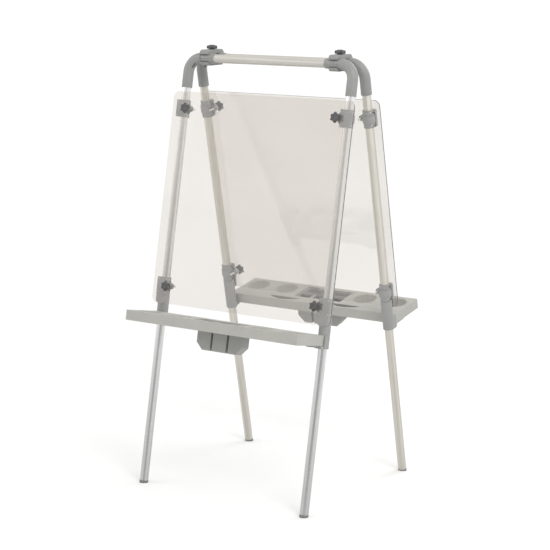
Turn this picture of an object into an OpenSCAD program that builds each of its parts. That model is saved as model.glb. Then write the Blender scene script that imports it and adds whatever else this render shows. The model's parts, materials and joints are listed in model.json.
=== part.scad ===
// Two-sided standing easel for children: two leaning leg frames joined at the top
// by clamp blocks, each with a clear painting panel, a tray and a cup box.
// Millimetres, +Z up, origin on the floor at the centre of the four feet.
// X runs along the crossbars, -Y is the front. Parts are the same front and rear.

/* [Frame] */
// Distance between the two legs of a frame, centre to centre
leg_gap = 546; // [540:2:552]
// Distance along a leg from the floor to the crossbar axis
leg_reach = 1210; // [1190:5:1260]
// Lean of each frame away from upright, in degrees
lean = 11.2; // [8:0.2:14]
// Distance between the front and rear crossbar axes
bar_gap = 47; // [46:1:56]
// Outside diameter of the leg tubes and crossbars
tube_d = 24; // [22:1:24]
// Wall thickness of the tubes
tube_wall = 1.6; // [1.2:0.2:2.4]
// Outside diameter of the corner elbows
elbow_d = 30; // [29:1:32]
// Radius of the elbow bend, to the tube axis
bend_r = 41; // [38:1:46]
// Diameter of the foot caps
foot_d = 24.6; // [24:0.2:30]

/* [Panel] */
// Width and height of a clear panel
panel_size = 600; // [596:2:604]
// Thickness of a clear panel
panel_t = 4; // [3:0.5:5]
// Corner radius of a clear panel
panel_r = 18; // [10:1:30]
// Height of a panel's lower edge, along the leg
panel_low = 512; // [505:1:520]
// Distance from a panel's side and lower edges to its stud holes
stud_inset = 50; // [48:1:52]
// Distance from a panel's upper edge to its upper stud holes
stud_inset_top = 47; // [45:1:50]

/* [Clamps] */
// Height of a panel clamp along the leg
clamp_h = 48; // [46:1:52]
// Width of a panel clamp
clamp_w = 34; // [34:1:38]
// Distance from the leg axis to the flat outer face of a clamp
clamp_face = 16; // [16:0.5:18]
// Diameter of the tray bracket's sleeve
sleeve_d = 32; // [31:1:33]

// How much lower the rear frame's clamps, panel and tray are set than the front ones
rear_drop = 7; // [0:1:10]

/* [Tray] */
// Length of a tray
tray_l = 570; // [566:1:574]
// Depth of a tray from its inner edge to its outer edge
tray_depth = 122; // [120:1:124]
// Height of a tray's side walls
tray_h = 28; // [26:1:30]
// Height of a tray's lower rim, along the leg
tray_low = 460; // [457:1:462]
// Diameter of the round wells
well_d = 68; // [60:1:68]
// Depth of the cups below the tray's top face
cup_depth = 82; // [70:1:90]

/* [Knobs] */
// Diameter over the lobes of a star knob
knob_d = 30; // [28:1:32]
// Height of the panel knobs' heads
panel_knob_h = 15.5; // [13:0.5:18]
// Height of the top knobs' heads
block_knob_h = 12; // [11.5:0.5:16]
// Number of lobes on a star knob
knob_lobes = 6; // [5:1:8]
// Diameter of the knobs' threaded studs
stud_d = 6; // [5:1:6]

/* [Hidden] */
$fn = 64;

FRONT = -1;
REAR = 1;
LEFT = -1;
RIGHT = 1;

aluminium = "Gainsboro";
moulding = "DarkGray";
tray_grey = "Silver";
cup_grey = "Gray";
clear = [0.85, 0.85, 0.84, 0.4];
steel = "LightSteelBlue";
black = [0.2, 0.2, 0.21];

cut = 1;              // how far a cutting shape runs past the face that it cuts
snug = 0.1;           // gap round a tube in a part that is fixed to it
running = 0.05;       // radial gap of a part that turns in a bore
gap = 0.3;            // gap between faces of parts that move past each other

tube_r = tube_d / 2;
elbow_r = elbow_d / 2;
half_gap = leg_gap / 2;
foot_in = 6;          // gap between a leg tube's lower end and the floor, along the leg
foot_y = bar_gap / 2 + leg_reach * sin(lean);
bar_z = leg_reach * cos(lean);

bend_z = leg_reach - bend_r;      // where the elbow's bend starts, along the leg
elbow_low = bend_z - 44;          // the elbow's lower end
socket_over = 13;                 // how far a tube runs on past the start of the bend
collar_l = 3;                     // straight end of the elbow beside the clamp block
block_out = half_gap - bend_r - collar_l - 0.5;
block_in = block_out - 44;
block_step = block_in + 16;       // where the block's slim collar ends
block_top = 24;                   // block's top face above the crossbar axes
block_low = -20;                  // block's lower face below the crossbar axes
split = 0.75;                     // half of the gap between the block's two shells
knob_x = (block_out + block_in) / 2 + 7;

stud_r = stud_d / 2;
stud_x = panel_size / 2 - stud_inset;
stud_in = stud_x - half_gap;      // stud axis seen from the leg axis, negative inboard
stud_low = panel_low + stud_inset;
stud_high = panel_low + panel_size - stud_inset_top;
stud_tip = 17.5;                  // how far behind the leg axis a panel knob's stud ends
lug_r = 8;
lug_back = 1;
hex_r = 5.77;                     // corner radius of the nuts on the knobs' studs
nut_h = 4;

plate_back = 11.5;                // distance from the leg axis to a clamp plate's inner face
ear_top = plate_back - 0.3;       // the same to the meeting face of the shell's ears
ear_back = 8.2;                   // and to the ears' outer face
screw_x = clamp_w / 2 - 3.7;
screw_z = clamp_h / 2 - 5.5;
screw_r = 1.5;
head_r = 2.6;
head_h = 2.2;
head_seat = 13.3;                 // distance from the leg axis to the screw heads' seats
shell_r = 15.5;
band_r = 17.5;
band_h = 20;

tray_in = 18;                     // tray's inner edge, outward of the leg axes
sleeve_low = tray_low - 8;
tongue_low = panel_low;
tongue_r = 9;
arm_w = 18;
arm_t = 4;
arm_reach = 70;
lug_drop = 8;                     // how far the tray screw's lug reaches below the tray
pivot_y = tray_in + 4;
pivot_z = tray_low - 4.5;

tray_out = tray_in + tray_depth;
tray_top = tray_low + tray_h;
wall = 3;
well_r = well_d / 2;
well_y = tray_out - 40;
wells_x = [137, 238];
slot_x = 104;
slot_half = 53;
slot_near = 23;
slot_far = 41;
slot_floor = tray_top - 20;
slot_r = (slot_half * slot_half + (slot_far - slot_near) * (slot_far - slot_near))
    / (2 * (slot_far - slot_near));

recess_x = 79;                    // half length of the cup box's rim
recess_near = 56;
recess_far = 131;
rim_z = tray_top - 5;             // underside of the cup box's rim
rim_t = 2;
rim_lap = 2.5;
cup_w = 46;
cup_pitch = 53;
cup_wall = 2;
cup_near = recess_near + 3.5;
cup_far = 90;
cup_low = tray_top - cup_depth;
cup_chamfer = 20;
shelf_z = tray_top - 14;
rib_t = 1.6;

knob_star_h = 9;
knob_cap_h = 1.5;
lobe_r = 4.2;

// ---- Placing -------------------------------------------------------------

// Puts a shape drawn in a frame's own axes (Z along the legs, -Y outward) in its place
module on_frame(face) {
    if (face == REAR) mirror([0, 1, 0]) lean_frame() children();
    else lean_frame() children();
}

module lean_frame() {
    translate([0, -foot_y, 0]) rotate([-lean, 0, 0]) children();
}

// The same for what is clamped to the legs, which is set lower on the rear frame
module on_set(face) {
    on_frame(face) translate([0, 0, face == REAR ? -rear_drop : 0]) children();
}

module on_side(side) {
    if (side == LEFT) mirror([1, 0, 0]) children();
    else children();
}

// Puts a shape drawn round a right-hand leg's own axis in its place
module on_leg(face, side) {
    on_frame(face) on_side(side) translate([half_gap, 0, 0]) children();
}

module on_leg_set(face, side) {
    on_set(face) on_side(side) translate([half_gap, 0, 0]) children();
}

// A cylinder along Y, from y0 to y1
module rod_y(r, y0, y1) {
    translate([0, y0, 0]) rotate([-90, 0, 0]) cylinder(r = r, h = y1 - y0);
}

// A cylinder along X, from x0 to x1
module rod_x(r, x0, x1) {
    translate([x0, 0, 0]) rotate([0, 90, 0]) cylinder(r = r, h = x1 - x0);
}

// Extrudes an outline drawn in X and Z along Y, from near to far outward of the legs
module outward(near, far) {
    translate([0, -near, 0]) rotate([90, 0, 0]) linear_extrude(far - near) children();
}

module box(low, high) {
    translate(low) cube(high - low);
}

module rounded_rect(w, h, r) {
    square([w - 2 * r, h], center = true);
    square([w, h - 2 * r], center = true);
    for (sx = [-1, 1], sy = [-1, 1]) translate([sx * (w / 2 - r), sy * (h / 2 - r)]) circle(r);
}

// ---- Tubes, elbows and feet ----------------------------------------------

module tube(length) {
    difference() {
        cylinder(r = tube_r, h = length);
        translate([0, 0, -cut]) cylinder(r = tube_r - tube_wall, h = length + 2 * cut);
    }
}

module leg(face, side) {
    color(aluminium) on_leg(face, side)
        translate([0, 0, foot_in]) tube(bend_z + socket_over - foot_in);
}

// Foot cap: a shank pushed into the tube, and a head cut level with the floor
module foot_cap(face, side) {
    shank_l = 22;
    color(moulding) difference() {
        on_leg(face, side) {
            translate([0, 0, -foot_d]) cylinder(r = foot_d / 2, h = foot_d + foot_in);
            cylinder(r = tube_r - tube_wall - running, h = foot_in + shank_l);
        }
        translate([side * half_gap, face * foot_y, -2 * foot_d]) cube(4 * foot_d, center = true);
    }
}

module crossbar(face) {
    bar_half = half_gap - bend_r + socket_over;
    color(aluminium) on_frame(face)
        translate([-bar_half, 0, leg_reach]) rotate([0, 90, 0]) tube(2 * bar_half);
}

// Quarter bend with a socket at each end and two cored slots along its inner side
module elbow(face, side) {
    slot_start = 28;
    slot_turn = 34;
    slot_w = 5.5;
    rib = 6.5;
    color(moulding) on_leg(face, side) difference() {
        union() {
            translate([0, 0, elbow_low]) cylinder(r = elbow_r, h = bend_z - elbow_low);
            translate([-bend_r, 0, bend_z]) rotate([90, 0, 0])
                rotate_extrude(angle = 90) translate([bend_r, 0]) circle(elbow_r);
            translate([-bend_r, 0, leg_reach]) rod_x(elbow_r, -collar_l, 0);
        }
        translate([0, 0, elbow_low - cut])
            cylinder(r = tube_r + snug, h = bend_z + socket_over - elbow_low + cut + gap);
        translate([-bend_r, 0, leg_reach])
            rod_x(tube_r + snug, -collar_l - cut, socket_over + gap);
        translate([-bend_r, 0, bend_z]) rotate([90, 0, 0]) rotate([0, 0, slot_start])
            rotate_extrude(angle = slot_turn)
                for (sy = [-1, 1])
                    translate([bend_r - elbow_r - cut, sy * (rib + slot_w) / 2 - slot_w / 2])
                        square([cut + 6, slot_w]);
    }
}

// ---- Panel ---------------------------------------------------------------

module panel(face) {
    color(clear) on_set(face)
        translate([0, -clamp_face, panel_low + panel_size / 2]) rotate([90, 0, 0])
            linear_extrude(panel_t) difference() {
                rounded_rect(panel_size, panel_size, panel_r);
                for (sx = [-1, 1], z = [stud_low, stud_high])
                    translate([sx * stud_x, z - panel_low - panel_size / 2]) circle(stud_r + 1);
            }
}

// ---- Panel clamps and tray brackets --------------------------------------

module screw_places() {
    for (sx = [-1, 1], sz = [-1, 1]) translate([sx * screw_x, 0, sz * screw_z]) children();
}

// Outer half of a clamp: a flat plate, with the stud's lug on its inboard side
module clamp_plate() {
    root = clamp_w / 2 + gap;
    web_z = lug_r - 1.5;
    outward(plate_back, clamp_face) rounded_rect(clamp_w, clamp_h, 2.5);
    translate([stud_in, 0, 0]) rod_y(lug_r, -clamp_face, lug_back);
    difference() {
        outward(ear_back, clamp_face) polygon([
            [0, lug_r + 6], [-root, lug_r + 6], [stud_in - 3, web_z],
            [stud_in - 3, -web_z], [-root, -lug_r - 6], [0, -lug_r - 6]
        ]);
        box([-root, -plate_back, -clamp_h], [clamp_w, 0, clamp_h]);
    }
}

module clamp_plate_holes() {
    screw_places() {
        rod_y(screw_r + 0.2, -clamp_face - cut, cut);
        rod_y(head_r + 0.4, -clamp_face - cut, -head_seat);
    }
    translate([stud_in, 0, 0]) {
        rod_y(stud_r + running, -clamp_face - cut, lug_back + cut);
        translate([0, lug_back - nut_h - 1, 0]) rotate([-90, 0, 0])
            cylinder(r = hex_r + snug, h = nut_h + 1 + cut, $fn = 6);
    }
}

module upper_clamp(face, side) {
    color(moulding) on_leg_set(face, side) translate([0, 0, stud_high]) difference() {
        clamp_plate();
        translate([0, 0, -clamp_h]) cylinder(r = tube_r + snug, h = 2 * clamp_h);
        clamp_plate_holes();
    }
}

// Inner half of a clamp: a shell round the tube with a thick band, and ears for four screws
module clamp_shell(face, side, z) {
    color(moulding) on_leg_set(face, side) translate([0, 0, z]) difference() {
        union() {
            intersection() {
                union() {
                    translate([0, 0, -clamp_h / 2]) cylinder(r = shell_r, h = clamp_h);
                    translate([0, 0, -band_h / 2]) cylinder(r = band_r, h = band_h);
                }
                box([-clamp_w, -ear_top, -clamp_h], [clamp_w, clamp_w, clamp_h]);
            }
            outward(ear_back, ear_top) rounded_rect(clamp_w, clamp_h, 2.5);
        }
        translate([0, 0, -clamp_h]) cylinder(r = tube_r + snug, h = 2 * clamp_h);
        translate([stud_in, 0, 0]) rod_y(lug_r + gap, -clamp_face, shell_r);
        screw_places() {
            rod_y(screw_r + 0.2, -ear_top - cut, 0);
            rod_y(3.4, -ear_back, shell_r);
        }
    }
}

// Tray bracket: the lower clamp's outer half, a long sleeve round the leg, and an arm
// under the tray's end with a lug for the tray's screw
module tray_bracket(face, side) {
    neck = stud_low - clamp_h / 2 - 1;
    sleeve_r = sleeve_d / 2;
    lug_out = tray_l / 2 - wall - gap - half_gap;
    color(moulding) on_leg_set(face, side) difference() {
        union() {
            translate([0, 0, stud_low]) clamp_plate();
            translate([0, 0, sleeve_low]) cylinder(r = sleeve_r, h = neck - sleeve_low);
            outward(plate_back, clamp_face) translate([0, (tongue_low + stud_low) / 2])
                rounded_rect(sleeve_d, stud_low - tongue_low, tongue_r);
            box([-arm_w / 2, -arm_reach, tray_low - arm_t], [lug_out, 0, tray_low]);
            box([-arm_w / 2, -pivot_y - 5, tray_low - lug_drop], [lug_out, 0, tray_low]);
            box([0, -tray_in + gap, sleeve_low], [sleeve_r, 0, tray_top]);
        }
        translate([0, 0, sleeve_low - cut])
            cylinder(r = tube_r + snug, h = stud_low + clamp_h - sleeve_low);
        translate([0, 0, stud_low]) clamp_plate_holes();
        translate([0, -pivot_y, pivot_z]) rod_x(screw_r, -arm_w, arm_w);
    }
}

// ---- Tray and cup box ----------------------------------------------------

module tray_outline(inset) {
    corner_r = 14 - inset;
    w = tray_l - 2 * inset;
    d = tray_depth - 2 * inset;
    translate([0, -tray_in - tray_depth / 2]) {
        translate([0, -corner_r]) square([w, d - 2 * corner_r + corner_r], center = true);
        rounded_rect(w, d, corner_r);
        translate([0, d / 4]) square([w, d / 2], center = true);
    }
}

// Long D-shaped slot: a straight far side and a curved side towards the legs
module slot_outline(grow) {
    intersection() {
        translate([0, -slot_near - slot_r]) circle(slot_r + grow, $fn = 128);
        translate([-slot_half - grow, -slot_far - grow])
            square([2 * (slot_half + grow), slot_far]);
    }
}

module tray(face) {
    color(tray_grey) on_set(face) difference() {
        union() {
            difference() {
                translate([0, 0, tray_low]) linear_extrude(tray_h) tray_outline(0);
                translate([0, 0, tray_low - cut])
                    linear_extrude(tray_h - wall + cut) tray_outline(wall);
            }
            for (side = [LEFT, RIGHT], x = wells_x) translate([side * x, -well_y, tray_low])
                cylinder(r = well_r + wall, h = tray_h);
            for (side = [LEFT, RIGHT]) {
                translate([side * slot_x, 0, slot_floor - wall])
                    linear_extrude(tray_top - slot_floor + wall) slot_outline(wall);
                translate([side * (tray_l - wall) / 2, -tray_in - 4, tray_low - lug_drop / 2])
                    cube([wall, 8, lug_drop + 2], center = true);
            }
            box([-recess_x - wall, -recess_far - wall, rim_z - wall],
                [recess_x + wall, -recess_near + wall, tray_top]);
        }
        for (side = [LEFT, RIGHT]) {
            for (x = wells_x) translate([side * x, -well_y, tray_low - cut])
                cylinder(r = well_r, h = tray_h + 2 * cut);
            translate([side * slot_x, 0, slot_floor]) linear_extrude(tray_h) slot_outline(0);
            translate([0, -pivot_y, pivot_z]) on_side(side)
                rod_x(screw_r + 0.2, tray_l / 2 - 2 * wall, tray_l / 2 + cut);
        }
        box([-recess_x - gap, -recess_far - gap, rim_z],
            [recess_x + gap, -recess_near + gap, tray_top + cut]);
        box([-recess_x + rim_lap, -recess_far + rim_lap, tray_low - cut],
            [recess_x - rim_lap, -recess_near - rim_lap, tray_top]);
    }
}

// Outline of one cup in X and Z; an end cup has its outer lower corner cut off
module cup_outline(i, inset) {
    half = cup_w / 2 - inset;
    low = cup_low + inset;
    trim = cup_chamfer - inset * 0.6;
    left = i < 0 ? trim : 0;
    right = i > 0 ? trim : 0;
    translate([i * cup_pitch, 0]) polygon([
        [-half, tray_top], [-half, low + left], [-half + left, low],
        [half - right, low], [half, low + right], [half, tray_top]
    ]);
}

module cup_box(face) {
    rim_top = rim_z + rim_t;
    shelf_far = recess_far - rim_lap - gap;
    color(cup_grey) on_set(face) difference() {
        union() {
            box([-recess_x, -recess_far, rim_z], [recess_x, -recess_near, rim_top]);
            intersection() {
                for (i = [-1:1]) outward(cup_near, cup_far) cup_outline(i, 0);
                box([-recess_x, -recess_far, 0], [recess_x, 0, rim_top]);
            }
            box([-recess_x + rim_lap + gap, -shelf_far, shelf_z - cup_wall],
                [recess_x - rim_lap - gap, -cup_far + cup_wall, rim_top]);
        }
        for (i = [-1:1])
            outward(cup_near + cup_wall, cup_far - cup_wall) cup_outline(i, cup_wall);
        difference() {
            box([-recess_x + rim_lap + 2 * cup_wall, -shelf_far + cup_wall, shelf_z],
                [recess_x - rim_lap - 2 * cup_wall, -cup_far - cup_wall / 2, tray_top]);
            for (i = [1:2]) translate([0, -cup_far - i * (shelf_far - cup_far) / 3, shelf_z])
                cube([3 * recess_x, rib_t, 5], center = true);
        }
    }
}

// ---- Fasteners -----------------------------------------------------------

module clamp_places(face) {
    for (side = [LEFT, RIGHT], z = [stud_low, stud_high])
        on_leg_set(face, side) translate([0, 0, z]) children();
}

module clamp_screws(face) {
    color(steel) clamp_places(face) screw_places() difference() {
        union() {
            rod_y(head_r, -head_seat - head_h, -head_seat);
            rod_y(screw_r, -head_seat, -ear_back + 3);
        }
        rod_y(1.4, -head_seat - head_h - cut, -head_seat - head_h + 1.2, $fn = 6);
    }
}

module clamp_nuts(face) {
    color(steel) clamp_places(face) screw_places() difference() {
        translate([0, -ear_back, 0]) rotate([-90, 30, 0]) cylinder(r = 3.1, h = 2, $fn = 6);
        rod_y(screw_r, -ear_top, 0);
    }
}

// Hex nuts sunk in the clamps' lugs, which the panel knobs' studs screw into
module stud_nuts(face) {
    color(steel) clamp_places(face) translate([stud_in, lug_back - nut_h - 1, 0])
        rotate([-90, 0, 0]) difference() {
            cylinder(r = hex_r, h = nut_h, $fn = 6);
            translate([0, 0, -cut]) cylinder(r = stud_r + running, h = nut_h + 2 * cut);
        }
}

// One screw on each end of a tray, into the bracket's lug
module tray_screws(face) {
    color(steel) on_set(face) for (side = [LEFT, RIGHT])
        on_side(side) translate([tray_l / 2, -pivot_y, pivot_z]) {
            rod_x(screw_r, -wall - 12, 0);
            rod_x(head_r - 0.3, 0, 2.2);
        }
}

// ---- Knobs ---------------------------------------------------------------

// Star knob with a moulded-in stud, standing on its base at z = 0
module star_knob(head_h, stud_l) {
    lobe_at = knob_d / 2 - lobe_r;
    neck_h = head_h - knob_star_h - knob_cap_h;
    cylinder(r = knob_d * 0.29, h = neck_h + cut);
    translate([0, 0, neck_h]) linear_extrude(knob_star_h) {
        circle(lobe_at);
        for (i = [1:knob_lobes]) rotate((i + 0.5) * 360 / knob_lobes) translate([lobe_at, 0])
            circle(lobe_r);
    }
    translate([0, 0, neck_h + knob_star_h - cut])
        cylinder(r = lobe_at - 2, h = knob_cap_h + cut);
    translate([0, 0, -stud_l]) cylinder(r = stud_r, h = stud_l + cut);
}

module panel_knob(face, side, z) {
    seat = clamp_face + panel_t + gap;
    color(black) on_leg_set(face, side) translate([stud_in, -seat, z])
        rotate([90, 0, 0]) star_knob(panel_knob_h, seat + stud_tip);
}

module block_knob(side) {
    color(black) translate([side * knob_x, 0, bar_z + block_top + gap])
        star_knob(block_knob_h, block_top + gap - block_low + 2);
}

// ---- Clamp blocks at the top ---------------------------------------------

// Outline of both shells together in Y and Z: two saddles and the web between them
module saddles_outline(saddle_r) {
    for (sy = [-1, 1]) translate([sy * bar_gap / 2, 0]) circle(saddle_r);
    square([bar_gap, saddle_r * 1.3], center = true);
}

// The flat flanges above and below the saddles, with their long edges cut off
module flanges_outline() {
    base = bar_gap / 2 + elbow_r;
    edge = 7;
    polygon([
        [-base, 12], [-base, block_top - edge], [-base + edge, block_top],
        [base - edge, block_top], [base, block_top - edge], [base, 12]
    ]);
    polygon([
        [-base, -10], [-base, block_low + edge], [-base + edge, block_low],
        [base - edge, block_low], [base, block_low + edge], [base, -10]
    ]);
}

// Extrudes an outline drawn in Y and Z along X
module along_x(x0, x1) {
    translate([x0, 0, 0]) rotate([90, 0, 90]) linear_extrude(x1 - x0) children();
}

module block_shell(side, upper) {
    low = upper ? split : -bar_gap;
    high = upper ? bar_gap : -split;
    color(moulding) translate([0, 0, bar_z]) on_side(side) difference() {
        intersection() {
            union() {
                along_x(block_in, block_out) saddles_outline(elbow_r - 1);
                along_x(block_step, block_out) flanges_outline();
            }
            box([0, -2 * bar_gap, low], [half_gap, 2 * bar_gap, high]);
        }
        for (sy = [-1, 1]) translate([0, sy * bar_gap / 2, 0])
            rod_x(tube_r + running, block_in - cut, block_out + cut);
        translate([knob_x, 0, block_low - cut])
            cylinder(r = stud_r + running, h = block_top - block_low + 2 * cut);
        translate([knob_x, 0, block_low - cut])
            cylinder(r = hex_r + snug, h = 5 + cut, $fn = 6);
    }
}

module block_nuts() {
    color(steel) for (side = [LEFT, RIGHT])
        translate([side * knob_x, 0, bar_z + block_low]) difference() {
            cylinder(r = hex_r, h = 5, $fn = 6);
            translate([0, 0, -cut]) cylinder(r = stud_r + running, h = 5 + 2 * cut);
        }
}

// ---- Nodes ---------------------------------------------------------------

block_shell(LEFT, true);  // block_upper_left
block_shell(RIGHT, true);  // block_upper_right
block_shell(LEFT, false);  // block_lower_left
block_shell(RIGHT, false);  // block_lower_right
block_nuts();
block_knob(LEFT);  // block_knob_left
block_knob(RIGHT);  // block_knob_right
leg(FRONT, LEFT);  // front_leg_left
leg(FRONT, RIGHT);  // front_leg_right
leg(REAR, LEFT);  // rear_leg_left
leg(REAR, RIGHT);  // rear_leg_right
foot_cap(FRONT, LEFT);  // front_foot_cap_left
foot_cap(FRONT, RIGHT);  // front_foot_cap_right
foot_cap(REAR, LEFT);  // rear_foot_cap_left
foot_cap(REAR, RIGHT);  // rear_foot_cap_right
elbow(FRONT, LEFT);  // front_elbow_left
elbow(FRONT, RIGHT);  // front_elbow_right
elbow(REAR, LEFT);  // rear_elbow_left
elbow(REAR, RIGHT);  // rear_elbow_right
crossbar(FRONT);  // front_crossbar
crossbar(REAR);  // rear_crossbar
panel(FRONT);  // front_panel
panel(REAR);  // rear_panel
upper_clamp(FRONT, LEFT);  // front_upper_clamp_left
upper_clamp(FRONT, RIGHT);  // front_upper_clamp_right
upper_clamp(REAR, LEFT);  // rear_upper_clamp_left
upper_clamp(REAR, RIGHT);  // rear_upper_clamp_right
clamp_shell(FRONT, LEFT, stud_high);  // front_upper_shell_left
clamp_shell(FRONT, RIGHT, stud_high);  // front_upper_shell_right
clamp_shell(REAR, LEFT, stud_high);  // rear_upper_shell_left
clamp_shell(REAR, RIGHT, stud_high);  // rear_upper_shell_right
tray_bracket(FRONT, LEFT);  // front_tray_bracket_left
tray_bracket(FRONT, RIGHT);  // front_tray_bracket_right
tray_bracket(REAR, LEFT);  // rear_tray_bracket_left
tray_bracket(REAR, RIGHT);  // rear_tray_bracket_right
clamp_shell(FRONT, LEFT, stud_low);  // front_lower_shell_left
clamp_shell(FRONT, RIGHT, stud_low);  // front_lower_shell_right
clamp_shell(REAR, LEFT, stud_low);  // rear_lower_shell_left
clamp_shell(REAR, RIGHT, stud_low);  // rear_lower_shell_right
tray(FRONT);  // front_tray
tray(REAR);  // rear_tray
cup_box(FRONT);  // front_cup_box
cup_box(REAR);  // rear_cup_box
clamp_screws(FRONT);  // front_clamp_screws
clamp_screws(REAR);  // rear_clamp_screws
clamp_nuts(FRONT);  // front_clamp_nuts
clamp_nuts(REAR);  // rear_clamp_nuts
stud_nuts(FRONT);  // front_stud_nuts
stud_nuts(REAR);  // rear_stud_nuts
tray_screws(FRONT);  // front_tray_screws
tray_screws(REAR);  // rear_tray_screws
panel_knob(FRONT, LEFT, stud_high);  // front_knob_upper_left
panel_knob(FRONT, RIGHT, stud_high);  // front_knob_upper_right
panel_knob(FRONT, LEFT, stud_low);  // front_knob_lower_left
panel_knob(FRONT, RIGHT, stud_low);  // front_knob_lower_right
panel_knob(REAR, LEFT, stud_high);  // rear_knob_upper_left
panel_knob(REAR, RIGHT, stud_high);  // rear_knob_upper_right
panel_knob(REAR, LEFT, stud_low);  // rear_knob_lower_left
panel_knob(REAR, RIGHT, stud_low);  // rear_knob_lower_right
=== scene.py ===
"""Looks of a two-sided children's easel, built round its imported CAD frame. Metres, +Z up."""

import json
from math import cos, pi, radians, sin

import bmesh
import bpy
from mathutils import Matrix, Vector


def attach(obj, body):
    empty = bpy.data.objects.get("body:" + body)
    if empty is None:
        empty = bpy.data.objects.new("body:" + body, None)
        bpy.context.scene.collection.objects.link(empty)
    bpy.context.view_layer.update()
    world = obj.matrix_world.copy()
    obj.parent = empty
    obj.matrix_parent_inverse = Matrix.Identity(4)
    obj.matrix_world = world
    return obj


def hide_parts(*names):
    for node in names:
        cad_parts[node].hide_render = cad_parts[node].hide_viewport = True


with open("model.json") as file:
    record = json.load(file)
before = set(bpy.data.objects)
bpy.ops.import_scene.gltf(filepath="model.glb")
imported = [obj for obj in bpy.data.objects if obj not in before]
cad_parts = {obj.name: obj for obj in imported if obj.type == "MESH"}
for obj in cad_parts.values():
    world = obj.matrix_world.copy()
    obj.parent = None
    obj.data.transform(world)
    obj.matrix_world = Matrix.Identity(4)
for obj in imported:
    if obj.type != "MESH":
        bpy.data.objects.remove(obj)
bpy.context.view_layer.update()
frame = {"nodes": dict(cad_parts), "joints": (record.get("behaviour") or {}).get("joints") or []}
joints = {j["name"]: j for j in frame["joints"]}

MM = 0.001
EASEL_MIDDLE = Vector((0, 0, 0.6))


# ---- Camera, lights and floor ------------------------------------------------


def add_camera():
    """The viewpoint that was fitted to the easel's corners."""
    data = bpy.data.cameras.new("camera")
    data.sensor_width = 36
    data.lens = 113.75
    data.clip_end = 60
    camera = bpy.data.objects.new("camera", data)
    camera.location = (2.726, -3.955, 1.487)
    camera.rotation_euler = (radians(79.39), 0, radians(34.56))
    bpy.context.scene.collection.objects.link(camera)
    bpy.context.scene.camera = camera


def add_light(name, place, size, power):
    """A round lamp aimed at the easel's middle."""
    data = bpy.data.lights.new(name, "AREA")
    data.shape = "DISK"
    data.size = size
    data.energy = power
    light = bpy.data.objects.new(name, data)
    light.location = place
    aim = EASEL_MIDDLE - light.location
    light.rotation_euler = aim.to_track_quat("-Z", "Y").to_euler()
    bpy.context.scene.collection.objects.link(light)


def add_world(dim_side, dim_level):
    """White light from all round, fading to dim_level towards the direction dim_side."""
    world = bpy.data.worlds.new("studio")
    world.use_nodes = True
    nodes, links = world.node_tree.nodes, world.node_tree.links
    place = nodes.new("ShaderNodeTexCoord")
    toward = nodes.new("ShaderNodeVectorMath")
    toward.operation = "DOT_PRODUCT"
    toward.inputs[1].default_value = dim_side
    fade = nodes.new("ShaderNodeValToRGB")
    fade.color_ramp.interpolation = "EASE"
    # The fade runs between two cosines of the angle to dim_side.
    bright, dim = fade.color_ramp.elements
    bright.position, bright.color = 0.75, (1.0, 1.0, 0.99, 1)
    dim.position, dim.color = 0.97, (dim_level, dim_level, dim_level * 1.02, 1)
    links.new(place.outputs["Generated"], toward.inputs[0])
    links.new(toward.outputs["Value"], fade.inputs["Fac"])
    links.new(fade.outputs["Color"], nodes["Background"].inputs["Color"])
    nodes["Background"].inputs["Strength"].default_value = 1.05
    bpy.context.scene.world = world


def add_studio():
    """Soft lamps and white surroundings, dim beside the camera for a dark line down the tubes."""
    bpy.context.scene.view_settings.view_transform = "Standard"
    add_world((0.56, -0.81, 0.17), 0.5)
    add_light("key", (2.6, -1.6, 3.2), 1.8, 60)
    add_light("fill", (-3.6, -1.6, 2.6), 2.4, 25)
    add_light("back", (0.8, 3.2, 2.6), 2.0, 30)


def add_floor():
    mesh = bpy.data.meshes.new("floor")
    shape = bmesh.new()
    bmesh.ops.create_circle(shape, cap_ends=True, segments=96, radius=14)
    shape.to_mesh(mesh)
    shape.free()
    floor = bpy.data.objects.new("floor", mesh)
    floor.data.materials.append(floor_paint())
    bpy.context.scene.collection.objects.link(floor)


# ---- Materials ---------------------------------------------------------------


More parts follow.
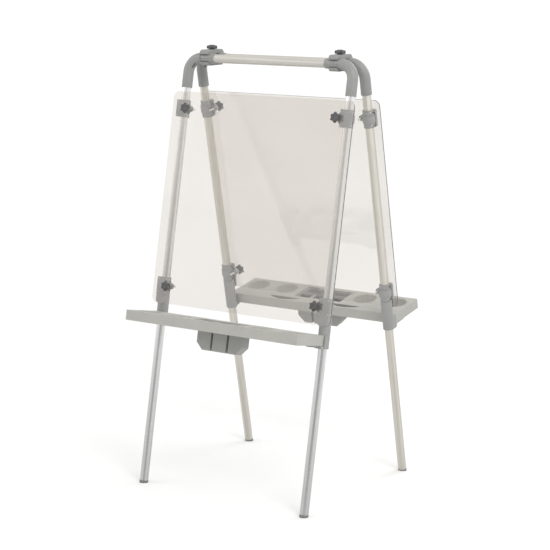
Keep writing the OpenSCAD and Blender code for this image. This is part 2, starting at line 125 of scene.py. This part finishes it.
class Look:
    """One Principled material and a few short ways to add nodes to it."""

    def __init__(self, name):
        self.material = bpy.data.materials.new(name)
        self.material.use_nodes = True
        self.tree = self.material.node_tree
        self.shader = self.tree.nodes["Principled BSDF"]

    def node(self, kind, **settings):
        node = self.tree.nodes.new(kind)
        for name, value in settings.items():
            setattr(node, name, value)
        return node

    def link(self, source, target):
        self.tree.links.new(source, target)
        return self

    def set(self, **values):
        for name, value in values.items():
            self.shader.inputs[name.replace("_", " ")].default_value = value

    def coords(self, scale=(1, 1, 1), turn=(0, 0, 0)):
        """Object coordinates, turned and then scaled."""
        source = self.node("ShaderNodeTexCoord")
        turned = self.node("ShaderNodeVectorRotate", rotation_type="EULER_XYZ")
        turned.inputs["Rotation"].default_value = turn
        scaled = self.node("ShaderNodeVectorMath", operation="MULTIPLY")
        scaled.inputs[1].default_value = scale
        self.link(source.outputs["Object"], turned.inputs["Vector"])
        self.link(turned.outputs["Vector"], scaled.inputs[0])
        return scaled.outputs["Vector"]

    def noise(self, vector, scale, detail=4, roughness=0.55):
        noise = self.node("ShaderNodeTexNoise")
        noise.inputs["Scale"].default_value = scale
        noise.inputs["Detail"].default_value = detail
        noise.inputs["Roughness"].default_value = roughness
        self.link(vector, noise.inputs["Vector"])
        return noise.outputs["Fac"]

    def ramp(self, value, low, high, start=0.3, end=0.7):
        """A colour between low and high as value goes from start to end."""
        ramp = self.node("ShaderNodeValToRGB")
        first, last = ramp.color_ramp.elements
        first.position, first.color = start, (*low, 1)
        last.position, last.color = end, (*high, 1)
        self.link(value, ramp.inputs["Fac"])
        return ramp.outputs["Color"]

    def span(self, value, low, high, start=0.3, end=0.7):
        """A number between low and high as value goes from start to end."""
        span = self.node("ShaderNodeMapRange")
        span.inputs["From Min"].default_value = start
        span.inputs["From Max"].default_value = end
        span.inputs["To Min"].default_value = low
        span.inputs["To Max"].default_value = high
        self.link(value, span.inputs["Value"])
        return span.outputs["Result"]

    def math(self, operation, first, second):
        """The result of a Math node whose inputs are numbers or other nodes' outputs."""
        node = self.node("ShaderNodeMath", operation=operation)
        for socket, value in zip(node.inputs, (first, second)):
            if isinstance(value, float):
                socket.default_value = value
            else:
                self.link(value, socket)
        return node.outputs["Value"]

    def mix_shaders(self, amount, first, second):
        node = self.node("ShaderNodeMixShader")
        self.link(amount, node.inputs["Fac"])
        self.link(first, node.inputs[1]).link(second, node.inputs[2])
        return node.outputs["Shader"]

    def bump(self, height, strength, distance):
        bump = self.node("ShaderNodeBump")
        bump.inputs["Strength"].default_value = strength
        bump.inputs["Distance"].default_value = distance
        self.link(height, bump.inputs["Height"])
        self.link(bump.outputs["Normal"], self.shader.inputs["Normal"])

    def colour(self, value):
        self.link(value, self.shader.inputs["Base Color"])

    def roughness(self, value):
        self.link(value, self.shader.inputs["Roughness"])


def shade(colour, by):
    return tuple(channel * by for channel in colour)


def floor_paint():
    """White floor, a little greyer under the lamps, so that it is evenly bright."""
    look = Look("floor_paint")
    cloud = look.noise(look.coords(), 1.2, detail=2)
    # Distance from the middle, as a part of 8 m
    part = 1 / 8
    distance = look.node("ShaderNodeVectorMath", operation="LENGTH")
    look.link(look.coords((part, part, part)), distance.inputs[0])
    grey, white = (0.77, 0.77, 0.77), (0.97, 0.97, 0.97)
    look.colour(look.ramp(distance.outputs["Value"], grey, white, start=0.25, end=0.8))
    look.roughness(look.span(cloud, 0.8, 0.9))
    look.set(Emission_Color=(1, 1, 1, 1), Emission_Strength=0.03)
    return look.material


def moulded_plastic(name, colour, rough):
    """Injection-moulded plastic: slow mottling under a fine spark-eroded grain."""
    look = Look(name)
    place = look.coords()
    cloud = look.noise(place, 14, detail=3)
    fine = look.noise(place, 900, detail=2)
    mottled = look.ramp(cloud, shade(colour, 0.93), shade(colour, 1.05))
    speckle = look.ramp(fine, shade(colour, 0.9), shade(colour, 1.1))
    mix = look.node("ShaderNodeMix", data_type="RGBA")
    mix.inputs["Factor"].default_value = 0.35
    look.link(mottled, mix.inputs["A"]).link(speckle, mix.inputs["B"])
    look.colour(mix.outputs["Result"])
    look.roughness(look.span(fine, *rough))
    look.bump(fine, 0.12, 0.4 * MM)
    return look.material


def extruded_aluminium(name, turn, colour, rough, at_floor):
    """Satin extruded tube: fine die lines along its length, which turn makes the Z axis.

    The colour is full in the upper part, and fades to at_floor times that near the floor, as
    painted shade.
    """
    faded_at, full_at = 0.0625, 0.9375
    look = Look(name)
    lines = look.noise(look.coords((1, 1, 0.004), turn), 1100, detail=3)
    streaks = look.noise(look.coords((1, 1, 0.012), turn), 150, detail=2)
    cloud = look.noise(look.coords((1, 1, 0.2), turn), 30, detail=3)
    # Painted shade: the colour is scaled down towards the floor, to at_floor times its full value.
    place = look.node("ShaderNodeSeparateXYZ")
    look.link(look.coords(), place.inputs["Vector"])
    strength = look.span(place.outputs["Z"], at_floor, 1, start=faded_at, end=full_at)
    colour_with_painted_shade = look.node("ShaderNodeVectorMath", operation="SCALE")
    look.link(look.ramp(streaks, shade(colour, 0.88), shade(colour, 1.12)), colour_with_painted_shade.inputs["Vector"])
    look.link(strength, colour_with_painted_shade.inputs["Scale"])
    look.colour(colour_with_painted_shade.outputs["Vector"])
    look.roughness(look.span(cloud, *rough))
    look.set(Metallic=1.0)
    look.bump(lines, 0.22, 0.4 * MM)
    return look.material


def zinc_plate():
    look = Look("zinc_plate")
    cloud = look.noise(look.coords(), 160, detail=3)
    look.colour(look.ramp(cloud, (0.5, 0.5, 0.48), (0.68, 0.67, 0.63)))
    look.roughness(look.span(cloud, 0.28, 0.45))
    look.set(Metallic=1.0)
    look.bump(cloud, 0.1, 0.3 * MM)
    return look.material


def clear_acrylic(name, normal):
    """Clear sheet whose faces, square to normal, pass light, and whose edges are painted dark, as
    painted shade.
    """
    look = Look(name)
    haze = look.noise(look.coords(), 3.0, detail=3)
    wipes = look.noise(look.coords((1, 0.15, 0.15)), 60, detail=2)

    # The edges are the plain shader with a near-black colour, as painted shade, and are seen from
    # outside only.
    look.colour(look.ramp(haze, (0.1, 0.09, 0.1), (0.13, 0.12, 0.13)))
    look.roughness(look.span(wipes, 0.2, 0.3))
    look.set(IOR=1.49)
    facing = look.node("ShaderNodeVectorMath", operation="DOT_PRODUCT")
    facing.inputs[1].default_value = normal
    look.link(look.node("ShaderNodeTexCoord").outputs["Normal"], facing.inputs[0])
    along = facing.outputs["Value"]
    edges_below = 0.4
    on_face = look.math("GREATER_THAN", look.math("MULTIPLY", along, along), edges_below)
    inside = look.node("ShaderNodeNewGeometry").outputs["Backfacing"]

    # The faces mirror more than acrylic does, for a room's glare, and let the rest through.
    fresnel = look.node("ShaderNodeFresnel")
    fresnel.inputs["IOR"].default_value = 2.2
    shine = look.math("MULTIPLY", fresnel.outputs["Fac"], look.math("SUBTRACT", 1.0, inside))
    clear = look.node("ShaderNodeBsdfTransparent")
    look.link(look.ramp(haze, (0.91, 0.895, 0.878), (0.93, 0.915, 0.898)), clear.inputs["Color"])
    gloss = look.node("ShaderNodeBsdfGlossy")
    look.link(look.span(wipes, 0.03, 0.08), gloss.inputs["Roughness"])
    sheet = look.mix_shaders(shine, clear.outputs["BSDF"], gloss.outputs["BSDF"])

    sheet_amount = look.math("MAXIMUM", on_face, inside)
    whole = look.mix_shaders(sheet_amount, look.shader.outputs["BSDF"], sheet)
    look.link(whole, look.tree.nodes["Material Output"].inputs["Surface"])
    return look.material


# ---- CAD nodes: materials and softened edges ---------------------------------


def paint(names, material):
    for name in names:
        node = frame["nodes"][name]
        node.data.materials.clear()
        node.data.materials.append(material)


def welded(name):
    """A CAD node with its faces joined along their edges, ready for other modifiers."""
    node = frame["nodes"][name]
    weld = node.modifiers.new("weld", "WELD")
    weld.merge_threshold = 0.001 * MM
    return node


def soften(names, width):
    """Rounds the sharp edges of CAD nodes over width."""
    for name in names:
        edges = welded(name).modifiers.new("edges", "BEVEL")
        edges.width = width
        edges.segments = 2
        edges.limit_method = "ANGLE"
        edges.angle_limit = radians(40)


def let_light_through(name):
    """A clear panel keeps no light off what is behind it, and stands just clear of its clamps."""
    panel = welded(name)
    panel.visible_shadow = False
    panel.visible_diffuse = False
    draw_in = panel.modifiers.new("draw_in", "DISPLACE")
    draw_in.mid_level = 0
    draw_in.strength = -0.1 * MM


def named(*words):
    """CAD nodes whose names hold any of these words."""
    return [n for n in frame["nodes"] if any(word in n for word in words)]


# ---- Star knobs --------------------------------------------------------------


def loft(name, rings, material, body):
    """A closed skin through rings of points, with the first and the last filled in."""
    shape = bmesh.new()
    rows = [[shape.verts.new(point) for point in points] for points in rings]
    for low, high in zip(rows, rows[1:]):
        for i in range(len(low)):
            shape.faces.new((low[i - 1], low[i], high[i], high[i - 1]))
    shape.faces.new(reversed(rows[0]))
    shape.faces.new(rows[-1])
    for face in shape.faces:
        face.smooth = True
    mesh = bpy.data.meshes.new(name)
    shape.to_mesh(mesh)
    shape.free()
    mesh.set_sharp_from_angle(angle=radians(50))
    mesh.materials.append(material)
    piece = bpy.data.objects.new(name, mesh)
    bpy.context.scene.collection.objects.link(piece)
    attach(piece, body)
    return piece


def ring(centre, side, up, radius_at, count):
    """Points round centre at the distance radius_at(angle), the angle counted from side to up."""
    angles = [2 * pi * i / count for i in range(count)]
    return [centre + (side * cos(a) + up * sin(a)) * radius_at(a) for a in angles]


def knob_sizes(node, place, axis):
    """A CAD knob along its axis: stud's tip, head's base and top, and the head's radius.

    The stud is the thinnest stretch, apart from points on the axis itself.
    """
    along = [(v.co - place).dot(axis) for v in node.data.vertices]
    out = [(v.co - place - axis * t).length for v, t in zip(node.data.vertices, along)]
    stud = min(r for r in out if r > 2 * MM)
    base = min(t for t, r in zip(along, out) if r > stud + MM)
    return min(along), base, max(along), max(out)


LOBES = 6
# Depth of the scallops between the lobes, as a part of the head's radius
SCALLOP_DEPTH = 0.27

# Height above the underside of the lobes and radius at the lobes' tips, both as parts of
# the head's radius, and how much of the scallops' depth the head has there
STAR = [
    (0.0, 0.62, 0.1), (0.0, 0.90, 0.8), (0.05, 0.96, 0.95), (0.14, 1.0, 1.0), (0.42, 1.0, 1.0),
    (0.53, 0.96, 0.97), (0.59, 0.87, 0.8), (0.61, 0.72, 0.3), (0.62, 0.61, 0.0),
    (0.68, 0.57, 0.0), (0.70, 0.52, 0.0), (0.66, 0.45, 0.0), (0.64, 0.2, 0.0),
]


def star_head(name, base, up, side, radius, height, material):
    """Six-lobed head on a round neck, with a raised ring round its dished middle."""
    across = up.cross(side)
    neck = height - max(z for z, _, _ in STAR) * radius
    profile = [(0, 0.55, 0), (0.03 * radius, 0.58, 0), (neck - 0.05 * radius, 0.58, 0)]
    profile += [(neck + z * radius, r, scallop) for z, r, scallop in STAR]
    rings = []
    for z, r, scallop in profile:

        def radius_at(angle, r=r, depth=SCALLOP_DEPTH * scallop):
            return radius * (r - depth * (0.5 - 0.5 * cos(LOBES * angle)) ** 0.85)

        rings.append(ring(base + up * z, side, across, radius_at, 96))
    return loft(name + "_head", rings, material, name)


def threaded_stud(name, tip, up, side, length, material):
    """Six-millimetre stud with a helical thread and a chamfered tip."""
    across = up.cross(side)
    pitch, rings_per_turn = MM, 6
    root_radius, flank = 2.55 * MM, 0.8 * MM
    rings = []
    for i in range(int(length / pitch * rings_per_turn)):
        z = i * pitch / rings_per_turn
        chamfer = min(1, 0.75 + 0.25 * z / MM)

        def radius_at(angle, z=z, chamfer=chamfer):
            turn = (z / pitch - angle / (2 * pi)) % 1
            return (root_radius + flank * min(turn, 1 - turn)) * chamfer

        rings.append(ring(tip + up * z, side, across, radius_at, 16))
    return loft(name + "_stud", rings, material, name)


def build_knob(name, head_material, stud_material):
    joint = joints[name + "_turn"]
    place, axis = Vector(joint["pos_m"]), Vector(joint["axis"])
    tip, base, top, radius = knob_sizes(frame["nodes"][name], place, axis)
    side = Vector((1, 0, 0)).cross(axis)
    head = star_head(name, place + axis * base, axis, side, radius, top - base, head_material)
    into_head = 2 * MM
    length = base + into_head - tip
    threaded_stud(name, place + axis * tip, axis, side, length, stud_material)
    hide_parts(name)


# ---- The easel ---------------------------------------------------------------

add_camera()
add_studio()
add_floor()

lean = radians(joints["front_frame_fold"]["range_deg"][1])
front_normal = (0, -cos(lean), sin(lean))
rear_normal = (0, cos(lean), sin(lean))

grey_moulding = moulded_plastic("grey_moulding", (0.24, 0.24, 0.237), (0.42, 0.56))
# A lighter copy of the grey moulding for the clamps and shells, as painted light.
lit_clamp_moulding = moulded_plastic("lit_clamp_moulding", (0.268, 0.268, 0.262), (0.42, 0.56))
tray_plastic = moulded_plastic("tray_plastic", (0.365, 0.36, 0.333), (0.48, 0.62))
cup_plastic = moulded_plastic("cup_box_plastic", (0.31, 0.31, 0.294), (0.48, 0.62))
foot_plastic = moulded_plastic("foot_plastic", (0.165, 0.165, 0.16), (0.5, 0.65))
black_plastic = moulded_plastic("black_plastic", (0.07, 0.07, 0.07), (0.34, 0.5))
zinc = zinc_plate()
# Lit and shaded copies of one aluminium: the front legs' colour is lighter, as painted light, and
# the rear legs' and crossbar's is darker and warmer, as painted shade.
lit_front_tube = extruded_aluminium("tube_front_lit", (lean, 0, 0), (0.84, 0.835, 0.83), (0.22, 0.28), 0.58)
shaded_rear_tube = extruded_aluminium("tube_rear_shaded", (-lean, 0, 0), (0.63, 0.605, 0.555), (0.44, 0.54), 0.9)
shaded_cross_tube = extruded_aluminium("tube_across_shaded", (0, pi / 2, 0), (0.58, 0.56, 0.525), (0.6, 0.7), 0.9)

blocks = named("block_upper", "block_lower")
elbows = named("elbow")
clamps = named("clamp_left", "clamp_right", "bracket")
shells = named("shell")
trays = ["front_tray", "rear_tray"]
cup_boxes = named("cup_box")
foot_caps = named("foot_cap")
knobs = named("knob")

paint(blocks + elbows, grey_moulding)
paint(clamps + shells, lit_clamp_moulding)
paint(trays, tray_plastic)
paint(cup_boxes, cup_plastic)
paint(foot_caps, foot_plastic)
paint(knobs, black_plastic)
paint(named("screws", "nuts"), zinc)
paint(named("crossbar"), shaded_cross_tube)
paint(named("front_leg"), lit_front_tube)
paint(named("rear_leg"), shaded_rear_tube)
paint(["front_panel"], clear_acrylic("clear_panel_front", front_normal))
paint(["rear_panel"], clear_acrylic("clear_panel_rear", rear_normal))

soften(blocks + clamps, 0.7 * MM)
soften(cup_boxes + elbows + foot_caps, 0.5 * MM)
soften(trays, 0.8 * MM)
for panel in ("front_panel", "rear_panel"):
    let_light_through(panel)
for knob in knobs:
    build_knob(knob, black_plastic, zinc)
